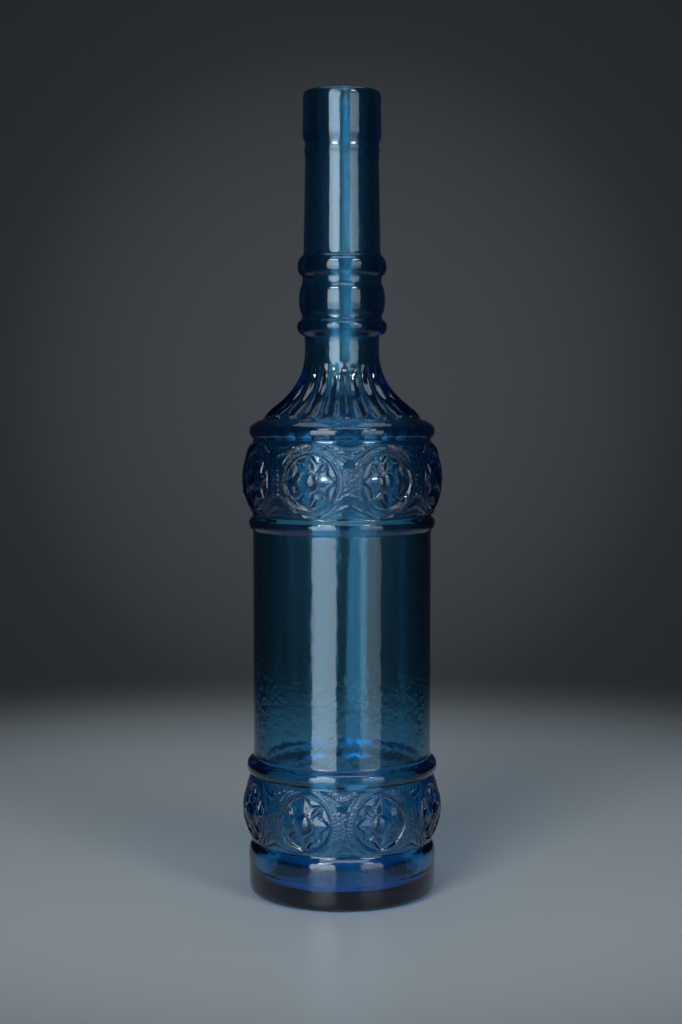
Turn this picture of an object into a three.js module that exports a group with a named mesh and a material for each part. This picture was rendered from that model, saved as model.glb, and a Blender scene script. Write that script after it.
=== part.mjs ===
// A tall decorative glass bottle in the apothecary style, blown in a mould as one piece of blue glass.
// Millimetres, +Z up. The origin is the centre of the resting face, and the axis of the bottle is Z.
//
// The glass has no joint in it. Here its wall is held as a stack of named sections that meet face to face
// on level planes, from the base to the lip, and each section is one closed ring of the wall.

import * as THREE from 'three';
import { mergeVertices } from 'three/addons/utils/BufferGeometryUtils.js';

const degrees = THREE.MathUtils.degToRad;

// ---- heights of the sections, from the table up ----
const BASE_H = 20.6;
const LOWER_BAND_H = 24.8;
const LOWER_RING_H = 7.2;
const BARREL_H = 84.4;
const UPPER_RING_H = 6.0;
const UPPER_BAND_H = 27.8;
const SHOULDER_RING_H = 7.0;
const SHOULDER_H = 31.6;
const KNOP_LOWER_H = 7.2;
const KNOP_BULB_H = 14.0;
const KNOP_UPPER_H = 9.2;
const NECK_H = 36.6;
const BEAD_H = 4.0;
const LIP_H = 19.6;

// ---- outside radii ----
const BARREL_R = 33.35; // the plain barrel, and every level joint below the shoulder ring
const LEDGE_INSET = 1.75; // the ledge that the fluted cone stands on, inside the barrel's radius
const LEDGE_WIDTH = 2.5;
const NECK_R = 13.65; // top of the neck, its narrowest place
const NECK_TAPER = 0.7; // how much wider the neck is at its foot
const WAIST_PROUD = 0.2; // under the knop
const KNOP_GROOVE_PROUD = 1.1; // in the grooves of the knop
const LIP_PROUD = 0.85;
const LIP_SKIRT_PROUD = 0.2;

// ---- how far each ring stands out from the radius it sits on ----
const BASE_PROUD = 2.0;
const LOWER_RING_PROUD = 2.5;
const UPPER_RING_PROUD = 1.6;
const SHOULDER_RING_PROUD = 1.5;
const BAND_PROUD = 3.3;
const KNOP_LOWER_PROUD = 2.3;
const KNOP_BULB_PROUD = 1.35;
const KNOP_UPPER_PROUD = 2.05;
const BEAD_PROUD = 0.38;

// ---- glass thickness and the base ----
const WALL = 4.0;
const BAND_HOLLOW = 1.2; // how far the inside of a relief band follows its bulge
const SHOULDER_WALL = 3.6;
const NECK_WALL = 4.0;
const LIP_WALL = 5.2;
const FLOOR = 6.5; // from the table to the inside of the floor
const PUNT_DEPTH = 2.5;
const REST_WIDTH = 4.7; // flat ring that the bottle stands on

// ---- rounded edges and quirks, the narrow flats beside a ring ----
const HEEL_ROUND = 3.6;
const BASE_TOP_ROUND = 1.6;
const FLOOR_CORNER = 5.0;
const LIP_ROUND = 1.6;
const MOUTH_ROUND = 0.9;
const SKIRT_UNDERCUT = 0.5;
const QUIRK = 0.4;
const WIDE_QUIRK = 0.8;
const KNOP_GROOVE_WIDTH = 2.0; // above the bulb of the knop

// ---- relief ----
const MEDALLIONS = 8;
const MEDALLION_MARGIN = 2.4; // from a band's edge to the crest of a medallion's rim
const RIM_WIDTH = 1.6;
const RELIEF = 1.1;
const DOME_R = 3.9;
const UPPER_PHASE = degrees(-18.4); // bearing of one medallion from the front, -Y
const LOWER_PHASE = degrees(-22.0);
const FLUTES = 22;
const FLUTE_DEPTH = 1.0;
const FLUTE_PHASE = degrees(-4.2);
const FLUTE_FOOT_H = 1.4; // height of the flutes' feet above the ledge
const PLAIN_WAIST_H = 4.9; // unfluted glass at the top of the shoulder

// ---- facets ----
const BODY_SIDES = 48;
const NECK_SIDES = 32;
const BAND_SIDES = MEDALLIONS * 12;
const FLUTED_SIDES = FLUTES * 4;
const BAND_ROWS = 10;
const BORE_ROWS = 3;
const SHOULDER_ROWS = 7;
const SHOULDER_BORE_ROWS = 4;
const BEAD_STEPS = 4;
const ROUND_STEPS = 3;

// ---- worked out from the sizes above ----
const LEDGE_R = BARREL_R - LEDGE_INSET;
const FLUTE_FOOT_R = LEDGE_R - LEDGE_WIDTH;
const WAIST_R = NECK_R + WAIST_PROUD;
const KNOP_GROOVE_R = NECK_R + KNOP_GROOVE_PROUD;
const NECK_FOOT_R = NECK_R + NECK_TAPER;
const LIP_R = NECK_R + LIP_PROUD;
const MEDALLION_R = Math.min(LOWER_BAND_H, UPPER_BAND_H) / 2 - MEDALLION_MARGIN;
const BODY_BORE_R = BARREL_R - WALL;
const SHOULDER_BORE_R = FLUTE_FOOT_R - SHOULDER_WALL;
const WAIST_BORE_R = WAIST_R - NECK_WALL;
const KNOP_BORE_R = NECK_FOOT_R - NECK_WALL;
const NECK_BORE_R = NECK_R - NECK_WALL;
const MOUTH_BORE_R = LIP_R - LIP_WALL;

// Profiles are lists of [radius, height] points.

// A half-round bead from height z0 to z1, standing `proud` of the straight line from r0 to r1.
function bead(z0, z1, r0, r1, proud) {
  return Array.from({ length: BEAD_STEPS + 1 }, (_, i) => {
    const turn = (Math.PI * i) / BEAD_STEPS;
    const share = (1 - Math.cos(turn)) / 2;
    return [r0 + (r1 - r0) * share + proud * Math.sin(turn), z0 + (z1 - z0) * share];
  });
}

// A shallow parabola from height 0 to `height`, standing on radius r.
function bulge(height, r, proud, rows) {
  return Array.from({ length: rows + 1 }, (_, i) => {
    const share = i / rows;
    return [r + proud * (1 - (2 * share - 1) ** 2), height * share];
  });
}

// An arc about the point (r, z) between two bearings, in degrees from outward.
function arc(r, z, radius, from, to) {
  return Array.from({ length: ROUND_STEPS + 1 }, (_, i) => {
    const turn = degrees(from + ((to - from) * i) / ROUND_STEPS);
    return [r + radius * Math.cos(turn), z + radius * Math.sin(turn)];
  });
}

// A smooth curve between two ends, with a handle for each.
function sweep(start, startHandle, endHandle, end, steps) {
  const corners = [start, startHandle, endHandle, end].map(([r, z]) => new THREE.Vector2(r, z));
  return new THREE.CubicBezierCurve(...corners).getPoints(steps).map((p) => [p.x, p.y]);
}

// The solid of revolution of an outline that runs anticlockwise, seen with the axis on its left. standOut moves the
// points between the outline's first and its `last` one out from the axis, by bearing from -Y, height and radius.
function revolve(outline, sides, last = 0, standOut = () => 0) {
  const profile = outline.map(([r, z]) => new THREE.Vector2(r, z));
  const geometry = new THREE.LatheGeometry(profile, sides).rotateX(Math.PI / 2);
  const spot = geometry.getAttribute('position');
  for (let i = 0; i < spot.count; i++) {
    const place = i % profile.length;
    if (place === 0 || place >= last) continue;
    const [x, y, z] = [spot.getX(i), spot.getY(i), spot.getZ(i)];
    const r = Math.hypot(x, y);
    const grown = 1 + standOut(Math.atan2(x, -y), z, r) / r;
    spot.setXY(i, x * grown, y * grown);
  }
  geometry.deleteAttribute('normal');
  geometry.deleteAttribute('uv');
  return mergeVertices(geometry);
}

// One section of wall, from an outside and an inside profile that both run upwards.
function wallSection(outside, inside, sides, standOut) {
  return revolve([...outside, ...inside.toReversed(), outside[0]], sides, outside.length - 1, standOut);
}

// Bearing measured from the nearest of `count` evenly spaced features.
function fromNearest(bearing, count, phase) {
  const pitch = (2 * Math.PI) / count;
  const offset = bearing - phase;
  return offset - pitch * Math.round(offset / pitch);
}

// Closed base: resting ring, shallow punt under it, rounded heel, and a thin floor inside.
function base() {
  const outer = BARREL_R + BASE_PROUD;
  const restOuter = outer - HEEL_ROUND;
  const topRoundR = outer - BASE_TOP_ROUND;
  const corner = Math.min(FLOOR_CORNER, BASE_H - FLOOR);
  const outline = [
    [0, PUNT_DEPTH],
    [restOuter - REST_WIDTH, 0],
    ...arc(restOuter, HEEL_ROUND, HEEL_ROUND, -90, 0),
    ...arc(topRoundR, BASE_H - WIDE_QUIRK - BASE_TOP_ROUND, BASE_TOP_ROUND, 0, 75),
    [BARREL_R, BASE_H],
    [BODY_BORE_R, BASE_H],
    ...arc(BODY_BORE_R - corner, FLOOR + corner, corner, 0, -90),
    [0, FLOOR],
  ];
  return revolve(outline, BODY_SIDES);
}

// A bulging band with a row of medallions: each a raised round rim with a dome in its middle.
function reliefBand(height, phase) {
  const outside = bulge(height, BARREL_R, BAND_PROUD, BAND_ROWS);
  const inside = bulge(height, BODY_BORE_R, BAND_HOLLOW, BORE_ROWS);
  return wallSection(outside, inside, BAND_SIDES, (bearing, z) => {
    const across = (BARREL_R + BAND_PROUD) * fromNearest(bearing, MEDALLIONS, phase);
    const away = Math.hypot(across, z - height / 2);
    const rim = Math.exp(-(((away - MEDALLION_R) / RIM_WIDTH) ** 2));
    const dome = Math.sqrt(Math.max(0, 1 - (away / DOME_R) ** 2));
    return RELIEF * Math.max(rim, dome);
  });
}

// A half-round ring round the body, between two quirks.
function bodyRing(height, proud) {
  const ring = bead(QUIRK, height - QUIRK, BARREL_R, BARREL_R, proud);
  const outside = [[BARREL_R, 0], ...ring, [BARREL_R, height]];
  return wallSection(outside, [[BODY_BORE_R, 0], [BODY_BORE_R, height]], BODY_SIDES);
}

function barrelWall() {
  const outside = [[BARREL_R, 0], [BARREL_R, BARREL_H]];
  return wallSection(outside, [[BODY_BORE_R, 0], [BODY_BORE_R, BARREL_H]], BODY_SIDES);
}

// The ring at the top of the body. Above it the glass turns in to the ledge that the flutes stand on.
function shoulderRing() {
  const outside = [
    [BARREL_R, 0],
    ...bead(WIDE_QUIRK, SHOULDER_RING_H - WIDE_QUIRK, BARREL_R, BARREL_R, SHOULDER_RING_PROUD),
    [LEDGE_R, SHOULDER_RING_H],
  ];
  const inside = sweep(
    [BODY_BORE_R, 0],
    [BODY_BORE_R, SHOULDER_RING_H / 2],
    [BODY_BORE_R, SHOULDER_RING_H],
    [SHOULDER_BORE_R, SHOULDER_RING_H],
    BORE_ROWS,
  );
  return wallSection(outside, inside, BODY_SIDES);
}

// The concave cone between body and neck, with hollow flutes that fade out towards the waist.
function flutedShoulder() {
  const coneH = SHOULDER_H - FLUTE_FOOT_H - PLAIN_WAIST_H;
  const handle = { foot: 0.15 * coneH, footInset: 1.1, waist: 0.31 * coneH };
  const cone = sweep(
    [FLUTE_FOOT_R, FLUTE_FOOT_H],
    [FLUTE_FOOT_R - handle.footInset, FLUTE_FOOT_H + handle.foot],
    [WAIST_R, FLUTE_FOOT_H + handle.waist],
    [WAIST_R, FLUTE_FOOT_H + coneH],
    SHOULDER_ROWS,
  );
  const bore = sweep(
    [SHOULDER_BORE_R, 0],
    [SHOULDER_BORE_R - handle.footInset, handle.foot],
    [WAIST_BORE_R, handle.waist],
    [WAIST_BORE_R, coneH],
    SHOULDER_BORE_ROWS,
  );
  const outside = [[LEDGE_R, 0], ...cone, [WAIST_R, SHOULDER_H]];
  return wallSection(outside, [...bore, [WAIST_BORE_R, SHOULDER_H]], FLUTED_SIDES, (bearing, z, r) => {
    if (z < FLUTE_FOOT_H / 2) return 0;
    const acrossFlute = FLUTES * fromNearest(bearing, FLUTES, FLUTE_PHASE);
    const fade = Math.max(0, r - WAIST_R) / (FLUTE_FOOT_R - WAIST_R);
    return (-FLUTE_DEPTH * Math.sqrt(fade) * (1 + Math.cos(acrossFlute))) / 2;
  });
}

// A ring of the neck. Each pair gives a value at its foot and at its top.
function neckRing(height, outerR, quirks, boreR, proud) {
  const beadPoints = bead(quirks[0], height - quirks[1], outerR[0], outerR[1], proud);
  const outside = [[outerR[0], 0], ...beadPoints, [outerR[1], height]];
  return wallSection(outside, [[boreR[0], 0], [boreR[1], height]], NECK_SIDES);
}

function knopLowerRing() {
  const boreR = [WAIST_BORE_R, KNOP_BORE_R];
  return neckRing(KNOP_LOWER_H, [WAIST_R, KNOP_GROOVE_R], [QUIRK, WIDE_QUIRK], boreR, KNOP_LOWER_PROUD);
}

function knopBulb() {
  const outerR = [KNOP_GROOVE_R, KNOP_GROOVE_R];
  const quirks = [WIDE_QUIRK, KNOP_GROOVE_WIDTH];
  return neckRing(KNOP_BULB_H, outerR, quirks, [KNOP_BORE_R, KNOP_BORE_R], KNOP_BULB_PROUD);
}

function knopUpperRing() {
  const boreR = [KNOP_BORE_R, KNOP_BORE_R];
  return neckRing(KNOP_UPPER_H, [KNOP_GROOVE_R, NECK_FOOT_R], [WIDE_QUIRK, QUIRK], boreR, KNOP_UPPER_PROUD);
}

function neckBead() {
  return neckRing(BEAD_H, [NECK_R, NECK_R], [QUIRK, WIDE_QUIRK], [NECK_BORE_R, NECK_BORE_R], BEAD_PROUD);
}

function neckTube() {
  const outside = [[NECK_FOOT_R, 0], [NECK_R, NECK_H]];
  return wallSection(outside, [[KNOP_BORE_R, 0], [NECK_BORE_R, NECK_H]], NECK_SIDES);
}

// The finish: a plain collar with a slightly wider skirt, a rounded lip and the mouth's bore.
function lipFinish() {
  const skirtR = LIP_R + LIP_SKIRT_PROUD;
  const outside = [
    [NECK_R, 0],
    [skirtR - SKIRT_UNDERCUT, 2 * QUIRK],
    [skirtR, LIP_H / 6],
    [LIP_R, LIP_H / 3],
    ...arc(LIP_R - LIP_ROUND, LIP_H - LIP_ROUND, LIP_ROUND, 0, 90),
  ];
  const inside = [
    [NECK_BORE_R, 0],
    [MOUTH_BORE_R, LIP_H / 2],
    ...arc(MOUTH_BORE_R + MOUTH_ROUND, LIP_H - MOUTH_ROUND, MOUTH_ROUND, 180, 90),
  ];
  return wallSection(outside, inside, NECK_SIDES);
}

// Every section stands on the one before it.
const sections = [
  ['base', BASE_H, base()],
  ['lower_relief_band', LOWER_BAND_H, reliefBand(LOWER_BAND_H, LOWER_PHASE)],
  ['lower_barrel_ring', LOWER_RING_H, bodyRing(LOWER_RING_H, LOWER_RING_PROUD)],
  ['barrel_wall', BARREL_H, barrelWall()],
  ['upper_barrel_ring', UPPER_RING_H, bodyRing(UPPER_RING_H, UPPER_RING_PROUD)],
  ['upper_relief_band', UPPER_BAND_H, reliefBand(UPPER_BAND_H, UPPER_PHASE)],
  ['shoulder_ring', SHOULDER_RING_H, shoulderRing()],
  ['fluted_shoulder', SHOULDER_H, flutedShoulder()],
  ['knop_lower_ring', KNOP_LOWER_H, knopLowerRing()],
  ['knop_bulb', KNOP_BULB_H, knopBulb()],
  ['knop_upper_ring', KNOP_UPPER_H, knopUpperRing()],
  ['neck_tube', NECK_H, neckTube()],
  ['neck_bead', BEAD_H, neckBead()],
  ['lip_finish', LIP_H, lipFinish()],
];

const bottle = new THREE.Group();
let level = 0;
for (const [name, height, geometry] of sections) {
  geometry.computeVertexNormals();
  const glass = new THREE.MeshStandardMaterial({ color: 0x35597a, roughness: 0.06, metalness: 0 });
  const section = new THREE.Mesh(geometry, glass);
  section.name = name;
  section.position.z = level;
  bottle.add(section);
  level += height;
}

export default bottle;
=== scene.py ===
import math

import bpy
import numpy as np
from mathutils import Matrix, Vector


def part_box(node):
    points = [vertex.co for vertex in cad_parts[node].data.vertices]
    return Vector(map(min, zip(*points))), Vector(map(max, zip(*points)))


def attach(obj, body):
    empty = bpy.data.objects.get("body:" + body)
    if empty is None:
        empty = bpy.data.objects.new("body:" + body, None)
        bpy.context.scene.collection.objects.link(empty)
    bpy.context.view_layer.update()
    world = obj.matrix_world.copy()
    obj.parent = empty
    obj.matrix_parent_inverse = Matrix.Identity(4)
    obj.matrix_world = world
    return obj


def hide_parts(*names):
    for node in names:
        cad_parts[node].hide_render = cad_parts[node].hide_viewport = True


# A blue glass bottle in the CAD model's frame: z = 0 is the table, -Y is the front.
# Lengths below are millimetres and become metres in ring_points().
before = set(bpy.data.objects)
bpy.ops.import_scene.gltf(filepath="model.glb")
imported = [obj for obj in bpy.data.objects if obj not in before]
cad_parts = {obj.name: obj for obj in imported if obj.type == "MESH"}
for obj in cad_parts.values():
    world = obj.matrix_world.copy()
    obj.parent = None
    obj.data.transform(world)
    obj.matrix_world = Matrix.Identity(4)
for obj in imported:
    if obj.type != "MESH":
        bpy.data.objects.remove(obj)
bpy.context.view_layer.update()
MM = 0.001
TURN = 2 * math.pi


# ---------------------------------------------------------------- sizes from the frame

def level(node):
    """Lowest and highest z of a CAD node, in mm."""
    low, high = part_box(node)
    return low.z / MM, high.z / MM


def widest(node):
    """Largest radius of a CAD node, in mm."""
    low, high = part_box(node)
    return (high.x - low.x) / 2 / MM


BASE_TOP = level("base")[1]
LOW_BAND = level("lower_relief_band")
LOW_RING = level("lower_barrel_ring")
BARREL = level("barrel_wall")
UP_RING = level("upper_barrel_ring")
UP_BAND = level("upper_relief_band")
SHOULDER_RING = level("shoulder_ring")
CONE = level("fluted_shoulder")
KNOP_LOW = level("knop_lower_ring")
KNOP_BULB = level("knop_bulb")
KNOP_UP = level("knop_upper_ring")
NECK = level("neck_tube")
BEAD = level("neck_bead")
LIP = level("lip_finish")
HEIGHT = LIP[1]

BARREL_R = widest("barrel_wall")
BASE_R = widest("base")
NECK_R = 13.65
NECK_FOOT_R = 14.35
WAIST_R = 13.85
KNOP_GROOVE_R = 14.75
RING_FOOT_R = 33.5        # radius in the grooves beside the bands and rings
LEDGE_R = 31.6
FLUTE_FOOT_R = 29.1
BAND_CROWN_R = 36.95      # smooth crown of a band, under its relief

BODY_BORE_R = 29.35
KNOP_BORE_R = 10.35
WAIST_BORE_R = 9.85
MOUTH_BORE_R = 9.3
BAND_HOLLOW = 1.2         # how far the inside follows a band's bulge
FLOOR = 6.5               # from the table to the inside of the floor
PUNT = 2.5
REST_R = 31.0             # outer edge of the flat ring that the bottle stands on

MEDALLIONS = 8
UP_PHASE = math.radians(-18.4)
LOW_PHASE = math.radians(-22.0)
FLUTES = 22
FLUTE_PHASE = math.radians(-4.2)

BAND_COLUMNS = MEDALLIONS * 96
FLUTE_COLUMNS = FLUTES * 16
PLAIN_COLUMNS = 128
BORE_COLUMNS = 96
RELIEF_ROW = 0.31         # longest spacing of the rows that carry fine relief
POLE_R = 0.01             # an outline closer to the axis than this ends in a single vertex

FLOOR_MIDDLE_Y = 0.10     # metres: the pale floor reaches further behind the bottle than in front
FLOOR_PALE_TO = 0.13      # metres from its middle, where it starts to thin out
FLOOR_ENDS_AT = 0.48


# ---------------------------------------------------------------- outline helpers

def bead(z0, r0, z1, r1, top, steps=16):
    """A half-round ring standing on the line from (r0, z0) to (r1, z1), reaching radius top."""
    points = []
    for k in range(1, steps):
        a = math.pi * k / steps
        z = (z0 + z1) / 2 - (z1 - z0) / 2 * math.cos(a)
        foot = r0 + (r1 - r0) * (z - z0) / (z1 - z0)
        points.append((foot + (top - (r0 + r1) / 2) * math.sin(a), z))
    return points


def crown(z0, z1, foot, top, steps=24):
    """The bulging outline of a relief band."""
    rows = [k / steps for k in range(steps + 1)]
    return [(foot + (top - foot) * (1 - (2 * t - 1) ** 2), z0 + (z1 - z0) * t) for t in rows]


def bezier(a, b, c, d, steps=30):
    """A cubic curve through a and d with handles b and c."""
    points = []
    for k in range(steps + 1):
        t = k / steps
        w = ((1 - t) ** 3, 3 * t * (1 - t) ** 2, 3 * t * t * (1 - t), t ** 3)
        points.append(tuple(sum(wi * p[i] for wi, p in zip(w, (a, b, c, d))) for i in (0, 1)))
    return points


def softened(points, radius=0.35, step=0.1):
    """The same outline with its creases rounded, at even steps along it."""
    p = np.array(points, float)
    run = np.concatenate([[0], np.cumsum(np.hypot(*np.diff(p, axis=0).T))])
    even = np.linspace(0, run[-1], int(run[-1] / step) + 1)
    line = np.column_stack([np.interp(even, run, p[:, i]) for i in (0, 1)])
    reach = int(3 * radius / step)
    weight = np.exp(-0.5 * (np.arange(-reach, reach + 1) * step / radius) ** 2)
    weight /= weight.sum()
    padded = np.vstack([2 * line[0] - line[reach:0:-1], line, 2 * line[-1] - line[-2:-reach - 2:-1]])
    smooth = np.column_stack([np.convolve(padded[:, i], weight, "valid") for i in (0, 1)])
    smooth[0], smooth[-1] = line[0], line[-1]
    return smooth


def rows_along(line, longest, turn=math.radians(12)):
    """Picks rows of an outline: close where it bends, at most longest apart where it runs straight."""
    d = np.diff(line, axis=0)
    run = np.hypot(*d.T)
    heading = np.unwrap(np.arctan2(d[:, 1], d[:, 0]))
    cost = run / longest + np.abs(np.diff(heading, prepend=heading[0])) / turn
    total = np.concatenate([[0], np.cumsum(cost)])
    want = np.linspace(0, total[-1], max(2, math.ceil(total[-1]) + 1))
    return np.column_stack([np.interp(want, total, line[:, i]) for i in (0, 1)])


def normals_of(rows):
    """The direction out of the glass at each row of an outline that runs upward outside."""
    d = np.gradient(rows, axis=0)
    n = np.column_stack([d[:, 1], -d[:, 0]])
    return n / np.linalg.norm(n, axis=1)[:, None]


# ---------------------------------------------------------------- relief

def bump_at(x, width):
    """A smooth ridge profile: 1 at x = 0, falling to a tenth at 1.5 widths away."""
    return np.exp(-(x / width) ** 2)


def step_at(x, width):
    """0 below, 1 above x = 0, over about that width."""
    return 1 / (1 + np.exp(-4 * x / width))


DOME_R = 3.55             # radii in a medallion, from its middle out
COLLAR_R = 4.05
STAR_HOLLOW_R = 7.2       # between the star's points, which reach STAR_POINT further
STAR_POINT = 2.4
FIELD_R = 10.1
RIM_R = 10.5
AROUND_R = 11.4           # where the pattern between medallions starts
BEADS_R = 11.9
OUTER_RIM_R = 13.3
BEADS_ROUND = 56


def rosette(u, v):
    """Height of one medallion with its eight-pointed star, at u along and v up from its middle."""
    r = np.hypot(u, v)
    a = np.arctan2(u, v)
    eighth = np.abs((a / (math.pi / 4)) % 1 - 0.5) * 2          # 1 on a petal's line, 0 between
    outline = STAR_HOLLOW_R + STAR_POINT * eighth ** 1.7
    star = step_at(outline - r, 0.6)
    height = -0.6 * step_at(FIELD_R - r, 0.5)
    height = height + star * 0.75
    height = height + 0.28 * bump_at(outline - r - 0.35, 0.36) * step_at(r - 4.6, 0.6)
    quarter = np.round(a / (math.pi / 2)) * (math.pi / 2)       # the nearest upright or level petal
    along = r * np.cos(a - quarter)
    aside = np.abs(r * np.sin(a - quarter))
    roof = np.clip(1 - aside / 1.9, 0, 1) * step_at(9.4 - along, 0.8) * step_at(along - 4.2, 0.5)
    height = height + 0.55 * roof
    diagonal = (np.floor(a / (math.pi / 2)) + 0.5) * (math.pi / 2)
    lens_along = (r * np.cos(a - diagonal) - 6.7) / 2.5
    lens_aside = r * np.sin(a - diagonal) / 1.15
    hollow = np.clip(1 - lens_along ** 2 - lens_aside ** 2, 0, 1)
    height = height - 0.75 * hollow ** 0.7 * step_at(r - 4.2, 0.4)
    dome = np.sqrt(np.clip(1 - (r / DOME_R) ** 2, 0, 1))
    height = np.where(r < DOME_R + 0.05, 0.1 + 1.5 * dome, height)
    height = height + 0.32 * bump_at(r - COLLAR_R, 0.34)
    return height + 0.6 * bump_at(r - RIM_R, 0.42)


def beads(along, aside, pitch, size, tall):
    """A row of small round beads."""
    near = (along / pitch - np.round(along / pitch)) * pitch
    return tall * np.exp(-((near ** 2 + aside ** 2) / size ** 2) ** 1.3)


def band_relief(u, v, half, pitch):
    """Height of a band's pattern: u runs from the middle of the nearest medallion, v up from mid-height."""
    r = np.hypot(u, v)
    a = np.arctan2(u, v)
    side = np.abs(u) / (pitch / 2)                               # 0 at a medallion, 1 between two
    wave = (0.5 + 0.5 * np.cos(math.pi * side)) ** 0.8
    height = rosette(u, v)
    ring = bump_at(r - OUTER_RIM_R, 0.36)
    upper_inner = 7.8 + 5.6 * wave
    upper_outer = 11.0 + 3.7 * wave
    lower_inner = -4.9 - 8.6 * wave ** 1.1
    lower_mid = -8.8 - 4.6 * wave ** 0.8
    lower_outer = -11.9 - 1.7 * wave
    slope = 0.72                                                 # evens the lines' width where they slant
    around = step_at(r - AROUND_R, 0.5)
    away_from_middle = step_at(np.abs(v) - 3.0, 1.5)
    height = height + 0.4 * ring * around * (1 - step_at(side - 0.82, 0.12))
    lines = (bump_at((v - upper_inner) * slope, 0.42) * 0.5
             + bump_at((v - upper_outer) * slope, 0.4) * 0.45
             + bump_at((v - lower_inner) * slope, 0.42) * 0.42
             + bump_at((v - lower_mid) * slope, 0.42) * 0.5
             + bump_at((v - lower_outer) * slope, 0.4) * 0.35)
    height = height + lines * around * away_from_middle
    terrace = (step_at(v - upper_inner, 0.9) + step_at(v - upper_outer, 0.9)
               + step_at(lower_inner - v, 0.9) + step_at(lower_mid - v, 0.9))
    height = height - 0.16 * terrace * around
    height = height + around * beads(a * 12.0, r - BEADS_R, 12.0 * TURN / BEADS_ROUND, 0.5, 0.34)
    gap = pitch / 2 - np.abs(u)
    cluster = beads(v - 0.4, gap - 1.0, 1.8, 0.6, 0.5) + beads(v + 0.5, gap, 1.8, 0.5, 0.35)
    height = height + cluster * (1 - step_at(np.abs(v + 0.5) - 5.2, 0.8))
    upper_mid = (upper_inner + upper_outer) / 2
    height = height + beads(u, (v - upper_mid) * slope, 2.1, 0.55, 0.42) * around * step_at(side - 0.3, 0.2)
    fade = step_at(half - 0.9 - np.abs(v), 0.7)
    return height * fade


def medallion_band(angle, z, span, phase):
    middle, half = sum(span) / 2, (span[1] - span[0]) / 2
    pitch = TURN * (BAND_CROWN_R + 0.3) / MEDALLIONS
    turn = (angle - phase) / (TURN / MEDALLIONS)
    u = (turn - np.round(turn)) * pitch
    return band_relief(u, z - middle, half, pitch)


def upper_band(angle, z):
    return medallion_band(angle, z, UP_BAND, UP_PHASE)


def lower_band(angle, z):
    return medallion_band(angle, z, LOW_BAND, LOW_PHASE)


def flutes(angle, z):
    """Hollowed flutes up the shoulder, with ribs between them and a scalloped foot."""
    turn = (angle - FLUTE_PHASE) / (TURN / FLUTES)
    s = np.abs(turn - np.round(turn)) * 2                        # 0 on a flute's line, 1 on a rib
    foot = CONE[0] + 1.9 + 1.5 * s ** 2
    top = CONE[0] + 22.0
    width = 0.80 - 0.1 * np.clip((z - CONE[0]) / 20, 0, 1)
    hollow = np.clip(1 - (s / width) ** 2, 0, 1)
    depth = 1.35 * step_at(z - foot, 0.9) * np.clip((top - z) / 13, 0, 1) ** 0.7
    rib = 0.30 * bump_at(s - 1, 0.14) * np.clip((top - z) / 13, 0, 1) * step_at(z - foot, 1.5)
    return rib - depth * hollow


def barrel_ripple(angle, z):
    """The slight waviness of moulded glass, running mostly up and down."""
    w = 0.012 * np.sin(19 * angle + 0.11 * z) * np.sin(0.23 * z + 5 * angle)
    return w + 0.008 * np.sin(37 * angle - 0.17 * z + 1.3) * np.sin(0.57 * z - 11 * angle)


def bore_ripple(angle, z):
    """The blown inside is never quite round."""
    w = 0.10 * np.sin(3 * angle + 0.02 * z) + 0.05 * np.sin(7 * angle - 0.03 * z + 1.0)
    return w + 0.02 * np.sin(13 * angle + 0.05 * z + 2.0)


# ---------------------------------------------------------------- the outline, from the underside up

underside = ([(0.0001, PUNT), (9, PUNT - 0.2), (17, PUNT - 0.8), (23, PUNT - 1.7), (26.4, 0.15), (27.2, 0)]
             + [(REST_R, 0), (32.4, 0.2), (33.7, 0.8), (34.6, 1.9), (35.0, 3.6), (BASE_R, 15.6)]
             + [(BASE_R - 0.2, 17.6), (BASE_R - 0.8, 19.0), (33.7, 19.9), (RING_FOOT_R, BASE_TOP)])
low_crown = [(RING_FOOT_R, BASE_TOP)] + crown(BASE_TOP + 0.6, LOW_BAND[1], RING_FOOT_R, BAND_CROWN_R)
barrel = ([(RING_FOOT_R, LOW_BAND[1]), (RING_FOOT_R, LOW_BAND[1] + 0.2)]
          + bead(LOW_RING[0] + 0.2, RING_FOOT_R, LOW_RING[1] - 0.8, BARREL_R, 35.85)
          + [(BARREL_R, LOW_RING[1]), (BARREL_R, BARREL[1] - 0.2)]
          + bead(UP_RING[0] + 0.6, BARREL_R, UP_RING[1] - 0.6, RING_FOOT_R, 34.95)
          + [(RING_FOOT_R, UP_BAND[0])])
up_crown = crown(UP_BAND[0] + 0.2, UP_BAND[1] - 0.2, RING_FOOT_R - 0.1, BAND_CROWN_R)
up_crown = [(RING_FOOT_R, UP_BAND[0])] + up_crown + [(33.2, UP_BAND[1] + 0.5)]
ledge = ([(33.2, UP_BAND[1] + 0.5)]
         + bead(SHOULDER_RING[0] + 1.0, 33.1, SHOULDER_RING[1] - 0.8, 33.0, 34.75)
         + [(LEDGE_R, CONE[0] + 0.4), (FLUTE_FOOT_R + 0.4, CONE[0] + 1.0)])
cone = ([(FLUTE_FOOT_R + 0.4, CONE[0] + 1.0)]
        + bezier((FLUTE_FOOT_R, CONE[0] + 1.6), (28, CONE[0] + 5.2),
                 (WAIST_R, CONE[0] + 9.2), (WAIST_R, CONE[0] + 26.7)))
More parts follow.
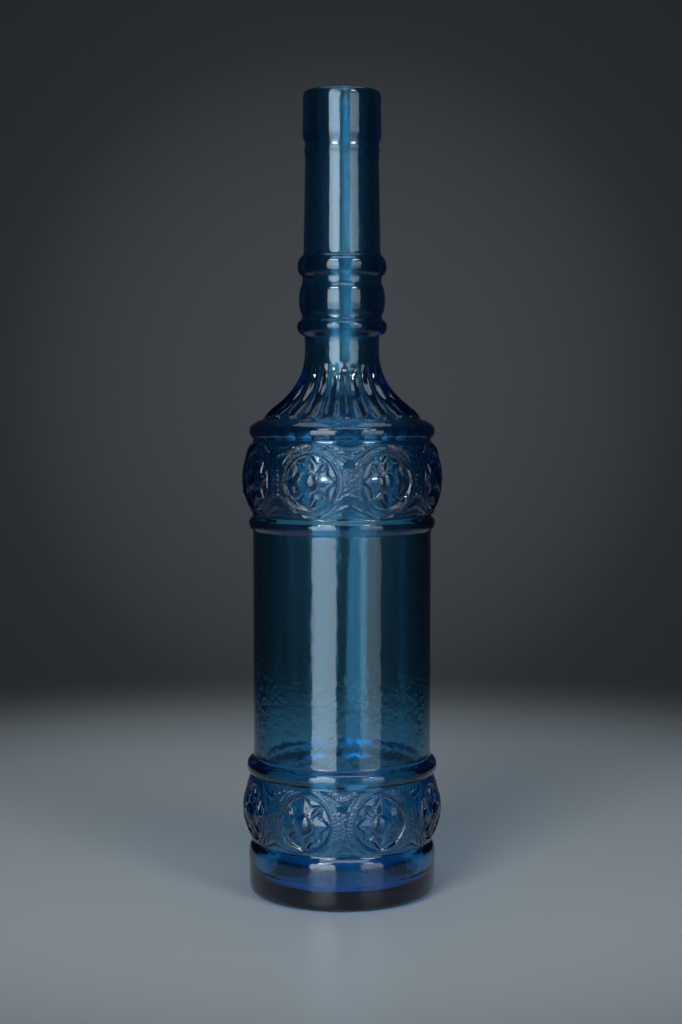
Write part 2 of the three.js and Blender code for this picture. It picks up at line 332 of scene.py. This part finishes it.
top = ([(WAIST_R, CONE[0] + 26.7), (WAIST_R, CONE[1] - 0.3)]
       + bead(KNOP_LOW[0] + 0.3, 14.0, KNOP_LOW[1] - 1.0, KNOP_GROOVE_R, 16.8)
       + [(KNOP_GROOVE_R, KNOP_BULB[0] + 0.6)]
       + bead(KNOP_BULB[0] + 1.0, 14.8, KNOP_BULB[1] - 2.0, KNOP_GROOVE_R, 16.1)
       + [(KNOP_GROOVE_R, KNOP_BULB[1] - 1.2), (KNOP_GROOVE_R, KNOP_UP[0] + 1.1)]
       + bead(KNOP_UP[0] + 1.2, KNOP_GROOVE_R, KNOP_UP[1] - 0.4, 14.4, 16.6)
       + [(NECK_FOOT_R, NECK[0] + 0.2), (NECK_R, NECK[1])]
       + bead(BEAD[0] + 0.4, NECK_R, BEAD[1] - 0.8, NECK_R, 14.05)
       + [(NECK_R, BEAD[1]), (14.1, BEAD[1] + 1.2), (14.55, BEAD[1] + 2.3), (14.7, LIP[0] + 3.6)]
       + [(14.52, LIP[0] + 7.6), (14.47, LIP[0] + 13.6), (14.55, HEIGHT - 2.4)]
       + [(14.25, HEIGHT - 1.1), (13.5, HEIGHT - 0.3), (12.6, HEIGHT)])
# The shoulder's curve inside takes the place of the first points of the upper band's hollow.
bore = ([(12.6, HEIGHT), (10.6, HEIGHT - 0.1), (9.7, HEIGHT - 0.6), (9.35, HEIGHT - 1.6)]
        + [(MOUTH_BORE_R, LIP[0]), (9.65, NECK[1]), (KNOP_BORE_R, KNOP_UP[1]), (KNOP_BORE_R, KNOP_LOW[0])]
        + [(WAIST_BORE_R, CONE[1] - 4), (WAIST_BORE_R, CONE[0] + 22)]
        + [(11.2, CONE[0] + 15), (14.6, CONE[0] + 8.6)]
        + [(20.0, CONE[0] + 3.2), (24.0, CONE[0] - 0.8), (27.2, CONE[0] - 5), (29.2, CONE[0] - 9.6)]
        + crown(*reversed(UP_BAND), BODY_BORE_R, BODY_BORE_R + BAND_HOLLOW)[9:]
        + crown(*reversed(LOW_BAND), BODY_BORE_R, BODY_BORE_R + BAND_HOLLOW)
        + [(BODY_BORE_R, FLOOR + 5)]
        + [(28.95, FLOOR + 3.1), (27.9, FLOOR + 1.45), (26.25, FLOOR + 0.4), (24.35, FLOOR)]
        + [(0.0001, FLOOR)])

# outline, columns round, longest row spacing, what stands on the surface
ZONES = [
    (underside, PLAIN_COLUMNS, 6.0, None),
    (low_crown, BAND_COLUMNS, RELIEF_ROW, lower_band),
    (barrel, PLAIN_COLUMNS, 2.2, barrel_ripple),
    (up_crown, BAND_COLUMNS, RELIEF_ROW, upper_band),
    (ledge, PLAIN_COLUMNS, 2.0, None),
    (cone, FLUTE_COLUMNS, 1.1, flutes),
    (top, PLAIN_COLUMNS, 6.0, None),
    (bore, BORE_COLUMNS, 6.0, bore_ripple),
]


# ---------------------------------------------------------------- the mesh

def ring_points(r, z, n_r, n_z, columns, relief):
    """One ring of vertices in metres, pushed out along its normal by the relief."""
    angle = TURN * np.arange(columns) / columns
    lift = relief(angle, np.full(columns, z)) if relief else 0.0
    rr, zz = r + n_r * lift, z + n_z * lift
    return np.column_stack([rr * np.sin(angle), -rr * np.cos(angle), zz + 0 * angle]) * MM


def joined_faces(first, n, second, m):
    """Faces between two rings of n and m vertices that start at the same bearing."""
    if n == m:
        return [(first + k, first + (k + 1) % n, second + (k + 1) % m, second + k) for k in range(n)]
    faces, i, j = [], 0, 0
    while i < n or j < m:
        if j == m or (i < n and (i + 1) * m <= (j + 1) * n):
            faces.append((first + i % n, first + (i + 1) % n, second + j % m))
            i += 1
        else:
            faces.append((first + i % n, second + (j + 1) % m, second + j % m))
            j += 1
    return faces


def unevenness(z):
    """How uneven the blown inside is at height z: clearest in the plain barrel and over the floor."""
    if z > UP_BAND[0]:
        return 1.0
    return 0.6 if LOW_BAND[0] < z < LOW_BAND[1] else 0.28


def faces_between(first, n, second, m):
    """Faces from a ring, or from the single vertex at a pole, to the next one."""
    if n == 1:
        return [(first, second + (k + 1) % m, second + k) for k in range(m)]
    if m == 1:
        return [(first + k, first + (k + 1) % n, second) for k in range(n)]
    return joined_faces(first, n, second, m)


def glass_mesh():
    """The whole wall as one closed mesh: up the outside, over the lip and down the bore."""
    vertices, faces, inside, last, count = [], [], [], None, 0
    for outline, columns, longest, relief in ZONES:
        rows = rows_along(softened(outline), longest)
        out = normals_of(rows)
        if last is not None:
            rows, out = rows[1:], out[1:]        # the zone below has made the shared row
        for k, ((r, z), (n_r, n_z)) in enumerate(zip(rows, out)):
            if r < POLE_R:
                ring = np.array([[0.0, 0.0, z * MM]])
            else:
                meets_next = last is not None and k == len(rows) - 1
                ring = ring_points(r, z, n_r, n_z, columns, None if meets_next else relief)
            if last is not None:
                faces += faces_between(*last, count, len(ring))
            vertices.append(ring)
            inside += [unevenness(z) if outline is bore else 0.0] * len(ring)
            last = (count, len(ring))
            count += len(ring)
    mesh = bpy.data.meshes.new("bottle_glass")
    mesh.from_pydata(np.vstack(vertices).tolist(), [], faces)
    mesh.validate()
    mesh.update()
    mesh.polygons.foreach_set("use_smooth", [True] * len(mesh.polygons))
    mesh.attributes.new("inside", "FLOAT", "POINT").data.foreach_set("value", inside)
    return mesh


# ---------------------------------------------------------------- materials

def node(tree, kind, **settings):
    made = tree.nodes.new(kind)
    for name, value in settings.items():
        setattr(made, name, value)
    return made


def by_place(tree, source, least, most):
    """A value that runs from least to most as the source socket runs from 0 to 1."""
    ranged = node(tree, "ShaderNodeMapRange")
    ranged.inputs["To Min"].default_value = least
    ranged.inputs["To Max"].default_value = most
    tree.links.new(source, ranged.inputs["Value"])
    return ranged.outputs["Result"]


def uneven_surface(tree, unevenness):
    """The fine waves of moulded glass, deepest where the unevenness socket is 1."""
    where = node(tree, "ShaderNodeTexCoord")
    waves = node(tree, "ShaderNodeTexNoise")
    waves.inputs["Scale"].default_value = 430
    waves.inputs["Detail"].default_value = 1.5
    height = node(tree, "ShaderNodeMath", operation="MULTIPLY")
    bump = node(tree, "ShaderNodeBump")
    bump.inputs["Strength"].default_value = 0.6
    bump.inputs["Distance"].default_value = 0.0003
    tree.links.new(where.outputs["Object"], waves.inputs["Vector"])
    tree.links.new(waves.outputs["Fac"], height.inputs[0])
    tree.links.new(by_place(tree, unevenness, 0.34, 1.0), height.inputs[1])
    tree.links.new(height.outputs["Value"], bump.inputs["Height"])
    return bump.outputs["Normal"]


def lit_through(tree, surface):
    """The same surface, but letting lamp light through to what the glass would shade."""
    rays = node(tree, "ShaderNodeLightPath")
    clear = node(tree, "ShaderNodeBsdfTransparent")
    clear.inputs["Color"].default_value = (0.75, 0.75, 0.75, 1)
    either = node(tree, "ShaderNodeMixShader")
    tree.links.new(rays.outputs["Is Shadow Ray"], either.inputs["Fac"])
    tree.links.new(surface, either.inputs[1])
    tree.links.new(clear.outputs["BSDF"], either.inputs[2])
    return either.outputs["Shader"]


def blue_glass():
    """Steel-blue glass: clear at its surface, coloured by how much of it the light goes through."""
    material = bpy.data.materials.new("blue_glass")
    material.use_nodes = True
    tree = material.node_tree
    tree.nodes.clear()
    out = node(tree, "ShaderNodeOutputMaterial")
    shader = node(tree, "ShaderNodeBsdfPrincipled")
    shader.inputs["Base Color"].default_value = (1, 1, 1, 1)
    shader.inputs["IOR"].default_value = 1.52
    shader.inputs["Coat Weight"].default_value = 0.2
    shader.inputs["Coat Roughness"].default_value = 0.03
    shader.inputs["Coat IOR"].default_value = 1.55
    shader.inputs["Transmission Weight"].default_value = 1.0
    inside = node(tree, "ShaderNodeAttribute", attribute_name="inside").outputs["Fac"]
    tree.links.new(uneven_surface(tree, inside), shader.inputs["Normal"])
    tree.links.new(by_place(tree, inside, 0.04, 0.24), shader.inputs["Roughness"])
    tint = node(tree, "ShaderNodeVolumeAbsorption")
    tint.inputs["Color"].default_value = (0.05, 0.665, 0.866, 1)
    tint.inputs["Density"].default_value = 244
    tree.links.new(lit_through(tree, shader.outputs["BSDF"]), out.inputs["Surface"])
    tree.links.new(tint.outputs["Volume"], out.inputs["Volume"])
    return material


def pale_floor():
    """A matt pale floor that thins out into the dim surroundings away from the bottle."""
    material = bpy.data.materials.new("pale_floor")
    material.use_nodes = True
    tree = material.node_tree
    shader = tree.nodes["Principled BSDF"]
    shader.inputs["Base Color"].default_value = (0.52, 0.53, 0.54, 1)
    shader.inputs["Roughness"].default_value = 0.3
    where = node(tree, "ShaderNodeTexCoord")
    length = node(tree, "ShaderNodeVectorMath", operation="LENGTH")
    fade = node(tree, "ShaderNodeMapRange", interpolation_type="SMOOTHERSTEP")
    fade.inputs["From Min"].default_value = FLOOR_PALE_TO
    fade.inputs["From Max"].default_value = FLOOR_ENDS_AT
    fade.inputs["To Min"].default_value = 1.0
    fade.inputs["To Max"].default_value = 0.0
    tree.links.new(where.outputs["Object"], length.inputs[0])
    tree.links.new(length.outputs["Value"], fade.inputs["Value"])
    tree.links.new(fade.outputs["Result"], shader.inputs["Alpha"])
    return material


glass = bpy.data.objects.new("bottle_glass", glass_mesh())
bpy.context.scene.collection.objects.link(glass)
glass.data.materials.append(blue_glass())
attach(glass, "root")
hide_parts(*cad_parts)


# ---------------------------------------------------------------- the studio

COOL = (0.83, 0.94, 1.0)
CAMERA_BACK = 0.7115      # metres
CAMERA_UP = 0.1914
CAMERA_DOWN = 3.82        # degrees
CAMERA_TURN = 0.03        # to the left


def panel(name, azimuth, distance, height, size, radiance, aim_z):
    """A rectangular soft light. Azimuth 0 is the front, positive to the right; it faces the axis at aim_z."""
    data = bpy.data.lights.new(name, "AREA")
    data.shape = "RECTANGLE"
    data.size, data.size_y = size
    data.energy = radiance * math.pi * size[0] * size[1]
    data.color = COOL
    light = bpy.data.objects.new(name, data)
    bpy.context.scene.collection.objects.link(light)
    a = math.radians(azimuth)
    light.location = (distance * math.sin(a), -distance * math.cos(a), height)
    aim = Vector((0, 0, aim_z)) - light.location
    light.rotation_euler = aim.to_track_quat("-Z", "Y").to_euler()
    light.visible_camera = False
    return light


floor_mesh = bpy.data.meshes.new("floor")
corners = [(-1, -1), (1, -1), (1, 1), (-1, 1)]
floor_mesh.from_pydata([(x * FLOOR_ENDS_AT, y * FLOOR_ENDS_AT, 0) for x, y in corners], [], [(0, 1, 2, 3)])
floor = bpy.data.objects.new("floor", floor_mesh)
floor.data.materials.append(pale_floor())
floor.location.y = FLOOR_MIDDLE_Y
bpy.context.scene.collection.objects.link(floor)

# Each: azimuth, distance, height, width and height, radiance, the height it aims at.
panel("left_softbox_low", -23, 1.25, -0.18, (0.70, 0.54), 2.9, -0.18)
panel("left_softbox_high", -23, 1.25, 0.42, (0.70, 0.66), 5.0, 0.42)
panel("right_softbox_low", 37, 1.3, -0.18, (0.62, 0.54), 0.9, -0.18)
panel("right_softbox_high", 37, 1.3, 0.42, (0.62, 0.66), 2.2, 0.42)
panel("left_core", -23, 1.2, 0.95, (0.42, 0.13), 24, 0.15)
panel("right_core", 37, 1.25, 0.95, (0.36, 0.12), 18, 0.15)
panel("top_softbox", 180, 0.35, 1.5, (1.1, 0.9), 0.8, 0.0)
panel("front_high_softbox", 5, 0.75, 1.25, (1.3, 0.4), 2.4, 0.1)


def studio_world():
    """Dim grey all round with a soft glow behind the bottle."""
    world = bpy.data.worlds.new("studio")
    world.use_nodes = True
    tree = world.node_tree
    background = tree.nodes["Background"]
    where = node(tree, "ShaderNodeTexCoord")
    toward = node(tree, "ShaderNodeVectorMath", operation="DOT_PRODUCT")
    toward.inputs[1].default_value = (0, 1, 0)
    ramp = node(tree, "ShaderNodeValToRGB")
    glow = ((0.0, 0.006), (0.93, 0.011), (0.983, 0.024), (0.999, 0.056))
    while len(ramp.color_ramp.elements) < len(glow):
        ramp.color_ramp.elements.new(0.5)
    for stop, (place, grey) in zip(ramp.color_ramp.elements, glow):
        stop.position = place
        stop.color = (grey * 0.9, grey, grey * 1.14, 1)
    tree.links.new(where.outputs["Generated"], toward.inputs[0])
    tree.links.new(toward.outputs["Value"], ramp.inputs["Fac"])
    tree.links.new(ramp.outputs["Color"], background.inputs["Color"])
    return world


bpy.context.scene.world = studio_world()
bpy.context.scene.view_settings.view_transform = "Standard"

camera_data = bpy.data.cameras.new("camera")
camera = bpy.data.objects.new("camera", camera_data)
bpy.context.scene.collection.objects.link(camera)
camera_data.lens = 66.8
camera_data.sensor_width = 36
camera.location = (0, -CAMERA_BACK, CAMERA_UP)
camera.rotation_euler = (math.radians(90 - CAMERA_DOWN), 0, math.radians(CAMERA_TURN))
bpy.context.scene.camera = camera
